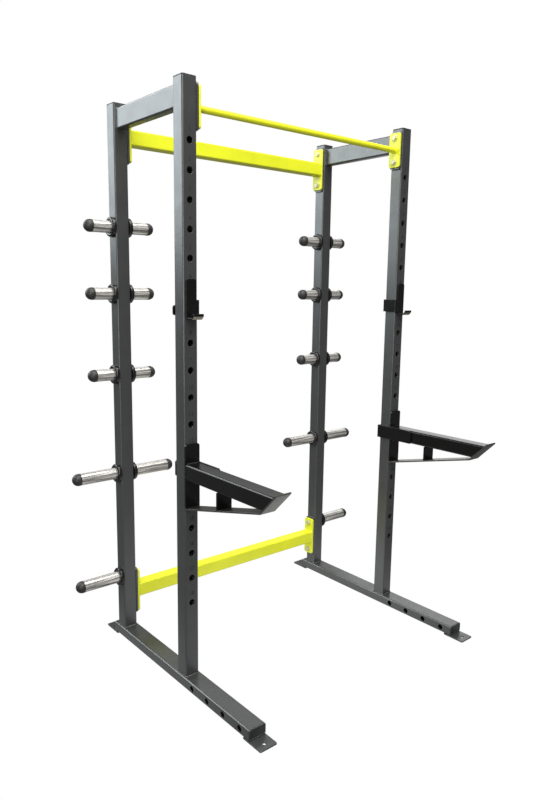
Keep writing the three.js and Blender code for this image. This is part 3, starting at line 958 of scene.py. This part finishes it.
def j_hook(side, inward):
    """A bent bar with its lip, the strap round the upright's inner side, and the stud."""
    name = f"{side}_j_hook"
    low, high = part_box(name)
    pivot, body = joint_place(f"{side}_j_hook_swing")
    centre_y = middle(f"{side}_front_upright").y
    place = (pivot.x, centre_y, pivot.z)
    half = UPRIGHT / 2
    back = -half - BRACKET_GAP
    line = back - HOOK_THICKNESS / 2
    top, bottom = high.z - pivot.z, low.z - pivot.z + HOOK_THICKNESS / 2
    tip = low.y - centre_y + HOOK_THICKNESS / 2
    path = rounded_path(
        [
            (line, top),
            (line, bottom),
            (tip + HOOK_LIP_SLANT, bottom),
            (tip, bottom + HOOK_LIP_SLANT),
            (tip, bottom + HOOK_LIP_SLANT + HOOK_LIP_RIM),
        ],
        HOOK_BEND,
    )
    edge = HOOK_WIDTH / 2
    bar = loose(f"{name}_bar", prism(thick_line(path, HOOK_THICKNESS), -edge, edge, "x"))
    silhouette = plate_outline(HOOK_WIDTH, top, bottom - THROUGH, HOOK_CORNER)
    boolean(bar, prism(silhouette, -HOOK_CUTTER_DEPTH, 0, "y"), "INTERSECT")
    bar.data.materials.clear()
    bar.data.materials.append(GLOSS_BLACK)
    bar.data.materials.append(LIP_PAINTED_HIGHLIGHT)
    for face in bar.data.polygons:  # painted highlight: the lip's slanted front, facing down and forward, gets a light beige metal finish standing for light on its underside
        face.material_index = int(face.normal.z < -0.35 and face.normal.y < -0.2)
    finished(bar, None, body, [name], 1.5 * MM, place)
    side_x = half + BRACKET_GAP
    rear = side_x + HOOK_WRAP_THICKNESS
    front_line = back - HOOK_WRAP_THICKNESS / 2
    side_line = side_x + HOOK_WRAP_THICKNESS / 2
    strap_line = rounded_path(
        [(edge - 6 * MM, front_line), (side_line, front_line), (side_line, rear)], 3 * MM
    )
    wrap = prism(thick_line(strap_line, HOOK_WRAP_THICKNESS), 0, HOOK_WRAP_HEIGHT)
    tab = return_tab(HOOK_WRAP_HEIGHT, HOOK_TAB_HEIGHT, HOOK_TAB_OVERSHOOT, HOOK_WRAP_THICKNESS)
    strap = loose(f"{name}_strap", mirrored(joined(wrap, tab), inward))
    strap_base = pivot.z - HOOK_WRAP_TOP - HOOK_WRAP_HEIGHT
    finished(strap, GLOSS_BLACK, body, (), 0.9 * MM, (pivot.x, centre_y, strap_base))
    pin = loose(f"{name}_stud", stud(back, STUD_DEPTH))
    finished(pin, ZINC, body, (), 0, place)


def spotter(side, inward):
    """A box arm on a plate, its brace, the side plate and tab round the upright, and the stud."""
    arm_name, brace_name = f"{side}_spotter_arm", f"{side}_spotter_brace"
    pivot, body = joint_place(f"{side}_spotter_swing")
    centre_y = middle(f"{side}_front_upright").y
    place = (pivot.x, centre_y, pivot.z)
    low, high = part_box(arm_name)
    brace_low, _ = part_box(brace_name)
    half = UPRIGHT / 2
    back = -half - BRACKET_GAP
    front = back - SPOTTER_PLATE
    width = size(brace_name).x
    top = -ARM_TOP_BELOW_STUD
    bottom = top - ARM_HEIGHT
    foot = -half - ARM_FOOT
    plate_bottom = low.z - pivot.z
    plate_top = high.z - pivot.z

    def add(piece, bm, edge=0.9 * MM, nodes=(), material=GLOSS_BLACK):
        obj = loose(f"{arm_name}_{piece}", bm) if isinstance(bm, bmesh.types.BMesh) else bm
        return finished(obj, material, body, nodes, edge, place)

    plate = plate_outline(width, plate_top, plate_bottom, SPOTTER_CORNER)
    add("plate", prism(plate, front, back, "y"))
    ends = (foot - ARM_HEIGHT - MM, front + MM)
    tube = square_tube(width, ARM_HEIGHT, ARM_CORNER, ARM_WALL, *ends, "y")
    arm = loose(f"{arm_name}_tube", moved(tube, (0, 0, top - ARM_HEIGHT / 2)))
    slant = [
        (foot + MM, bottom - MM),
        (foot - ARM_HEIGHT - MM, top + MM),
        (foot - ARM_HEIGHT - 9 * MM, top + MM),
        (foot - ARM_HEIGHT - 9 * MM, bottom - MM),
    ]
    boolean(arm, prism(slant, -width, width, "x"), "DIFFERENCE")
    add("tube", arm, 0.5 * MM, [arm_name])
    side_x = half + BRACKET_GAP
    side_end = -half - SIDE_PLATE_REACH
    corner = SIDE_PLATE_CORNER
    side_outline = [
        (side_end, top - corner),
        *arc((side_end + corner, bottom + corner), corner, 180, 270),
        (side_x + SPOTTER_PLATE, bottom),
        (side_x + SPOTTER_PLATE, top),
        (side_end + corner, top),
    ]
    side_plate = prism(side_outline, side_x, side_x + SPOTTER_PLATE, "x")
    add("side_plate", mirrored(side_plate, inward), 1.1 * MM)
    tab = return_tab(ARM_HEIGHT, ARM_HEIGHT, ARM_TAB_OVERSHOOT, SPOTTER_PLATE)
    add("tab", mirrored(moved(tab, (0, 0, bottom)), inward))
    add("stud", stud(back, STUD_DEPTH), 0, (), ZINC)

    thickness = BRACE_THICKNESS
    base = brace_low.z - pivot.z + thickness / 2
    bend_level = bottom - BRACE_BEND_DROP + thickness / 2
    tip_level = top + LIP_ABOVE_ARM
    stand_off = (thickness / 2 + SEAM) * math.sqrt(2)
    bend = foot - stand_off + bottom - bend_level
    tip = bend - (tip_level - bend_level)
    corners = [(back, base), (front, base), (bend, bend_level), (tip, tip_level)]
    line = rounded_path(corners, BRACE_BEND)
    strap = prism(thick_line(line, thickness), -width / 2, width / 2, "x")
    add("brace", loose(brace_name + "_bar", strap), 0.9 * MM, [brace_name], SATIN_BLACK)
    gusset_y = -half - GUSSET_PLACE
    rise = (bend_level - base) / (bend - front)
    gusset_foot = base + rise * (gusset_y - front) + thickness / 2 - MM
    gusset = prism(
        [
            (-width / 2, gusset_foot),
            (width / 2, gusset_foot),
            (width / 2, bottom - SEAM),
            (-width / 2, bottom - SEAM),
        ],
        gusset_y - GUSSET_THICKNESS / 2,
        gusset_y + GUSSET_THICKNESS / 2,
        "y",
    )
    add("gusset", gusset, 0.7 * MM)

    def seam(piece, start, end):
        path = [Vector(p) + Vector(place) for p in (start, end)]
        name = f"{arm_name}_{piece}"
        weld(name, path, (0, 1, 0), body, GLOSS_BLACK, False, ARM_WELD)

    inset = 5 * MM
    reach = width / 2 - inset
    across = [
        ("top_weld", front, top),
        ("bottom_weld", front, bottom),
        ("foot_weld", front, plate_bottom),
        ("gusset_weld_-1", gusset_y - GUSSET_THICKNESS / 2, gusset_foot + MM),
        ("gusset_weld_1", gusset_y + GUSSET_THICKNESS / 2, gusset_foot + MM),
    ]
    for piece, y, level in across:
        seam(piece, (-reach, y, level), (reach, y, level))
    for edge in (-1, 1):
        x = edge * width / 2
        seam(f"side_weld_{edge}", (x, front, bottom + inset), (x, front, top - inset))


# ---------------------------------------------------------------- build


for side, inward in SIDES:
    upright(f"{side}_front_upright", [("pull_up", "pull_up_bar")], HOLE_COUNT)
    rear_joints = [("upper_cross", "upper_crossmember"), ("lower_cross", "lower_crossmember")]
    upright(f"{side}_rear_upright", rear_joints, 0)
    foot_rail(side)
    top_rail(side)
    for end in ("front", "rear"):
        rail_cap(side, end)
        foot_plate(side, end)
        upright_cap(side, end)
    for index in range(HOLE_COUNT):
        hole_number(side, index)
    for node in frame["nodes"]:
        if node.startswith(f"{side}_outer_peg"):
            storage_peg(node, -inward)
        elif node.startswith(f"{side}_inner_peg"):
            storage_peg(node, inward)
        elif node.startswith(side) and node.endswith("_bolt"):
            bolt(node, inward)
    j_hook(side, inward)
    spotter(side, inward)

crossmember("pull_up_bar", "pull_up", True)
crossmember("upper_crossmember", "upper_cross", False)
crossmember("lower_crossmember", "lower_cross", False)


# ---------------------------------------------------------------- stage, light and camera


def seen_or_lit(tree, seen, lit):
    """A strength that is one number where the camera looks at it, and another as a light."""
    path = tree.nodes.new("ShaderNodeLightPath")
    node = tree.nodes.new("ShaderNodeMapRange")
    node.inputs["To Min"].default_value = lit
    node.inputs["To Max"].default_value = seen
    tree.links.new(path.outputs["Is Camera Ray"], node.inputs["Value"])
    return node.outputs["Result"]


def white_floor():
    """A floor that the camera sees as plain white, with a pool of light under the rack."""
    bm = bmesh.new()
    corners = [(-1, -1), (1, -1), (1, 1), (-1, 1)]
    bm.faces.new([bm.verts.new((x * FLOOR_REACH, y * FLOOR_REACH, 0)) for x, y in corners])
    floor = loose("floor", bm)
    material = bpy.data.materials.new("floor_white")
    material.use_nodes = True
    tree = material.node_tree
    tree.nodes.clear()
    glow = tree.nodes.new("ShaderNodeEmission")
    place = tree.nodes.new("ShaderNodeTexCoord")
    distance = tree.nodes.new("ShaderNodeVectorMath")
    distance.operation = "DISTANCE"
    distance.inputs[1].default_value = POOL_CENTRE
    tree.links.new(place.outputs["Object"], distance.inputs[0])
    pool = remap(tree, distance.outputs["Value"], FLOOR_POOL, FLOOR_BOUNCE, *POOL_RADII)
    lit = seen_or_lit(tree, 1.0, FLOOR_BOUNCE)
    tree.links.new(pool, lit.node.inputs["To Min"])
    tree.links.new(lit, glow.inputs["Strength"])
    output = tree.nodes.new("ShaderNodeOutputMaterial")
    tree.links.new(glow.outputs["Emission"], output.inputs["Surface"])
    floor.data.materials.append(material)
    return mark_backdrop(floor)


def softbox(name, place, target, width, height, radiance, colour=(1, 1, 1)):
    """A rectangular light, given by the brightness of its face."""
    light = bpy.data.lights.new(name, "AREA")
    light.shape = "RECTANGLE"
    light.size, light.size_y = width, height
    light.energy = radiance * math.pi * width * height
    light.color = colour
    obj = bpy.data.objects.new(name, light)
    obj.location = place
    direction = Vector(target) - Vector(place)
    obj.rotation_euler = direction.to_track_quat("-Z", "Y").to_euler()
    obj.visible_camera = False
    bpy.context.scene.collection.objects.link(obj)


def studio_world():
    """A background that the camera sees as plain white, and that gives little light."""
    world = bpy.data.worlds.new("studio")
    world.use_nodes = True
    tree = world.node_tree
    background = tree.nodes["Background"]
    background.inputs["Color"].default_value = (1, 1, 1, 1)
    tree.links.new(seen_or_lit(tree, 1.0, STUDIO_AMBIENT), background.inputs["Strength"])
    bpy.context.scene.world = world


def photo_camera():
    """The photograph's viewpoint: front left of the rack, looking a little down."""
    place = (-1.92608, -2.11222, 1.55265)
    yaw, pitch, roll = math.radians(39.787), math.radians(9.454), math.radians(0.768)
    camera = bpy.data.cameras.new("camera")
    camera.lens = 30.33
    camera.sensor_width = 36
    camera.sensor_fit = "AUTO"
    obj = bpy.data.objects.new("camera", camera)
    obj.matrix_world = (
        Matrix.Translation(place)
        @ Matrix.Rotation(-yaw, 4, "Z")
        @ Matrix.Rotation(math.pi / 2 - pitch, 4, "X")
        @ Matrix.Rotation(roll, 4, "Z")
    )
    bpy.context.scene.collection.objects.link(obj)
    bpy.context.scene.camera = obj


white_floor()
studio_world()
photo_camera()
bpy.context.scene.view_settings.view_transform = "Standard"
# softboxes: place, target, width, height, radiance, colour
softbox("back_left", (-4.3, 5.2, 3.5), (-0.6, 0.2, 1.5), 4.4, 2.7, 5.0, (0.87, 0.95, 1.0))
softbox("back_right", (4.2, 4.2, 4.5), (0, 0, 0.8), 5.0, 3.0, 0.9)
softbox("edge_strip", (-2.3, 4.3, 4.6), (-0.6, -0.3, 0.9), 2.6, 0.9, 11.0)
softbox("overhead", (-0.4, -1.0, 5.4), (0, 0, 0), 4.0, 4.0, 6.5)
softbox("right_fill", (5.4, 2.6, 2.3), (0, 0, 1.1), 3.4, 3.0, 1.3)
softbox("side_strip", (-4.6, -2.7, 1.6), (-0.6, -0.1, 1.3), 0.9, 2.2, 11.0)
softbox("key", (-2.6, -4.6, 5.2), (0, 0, 1.1), 4.5, 3.6, 4.8, (1.0, 0.98, 0.95))
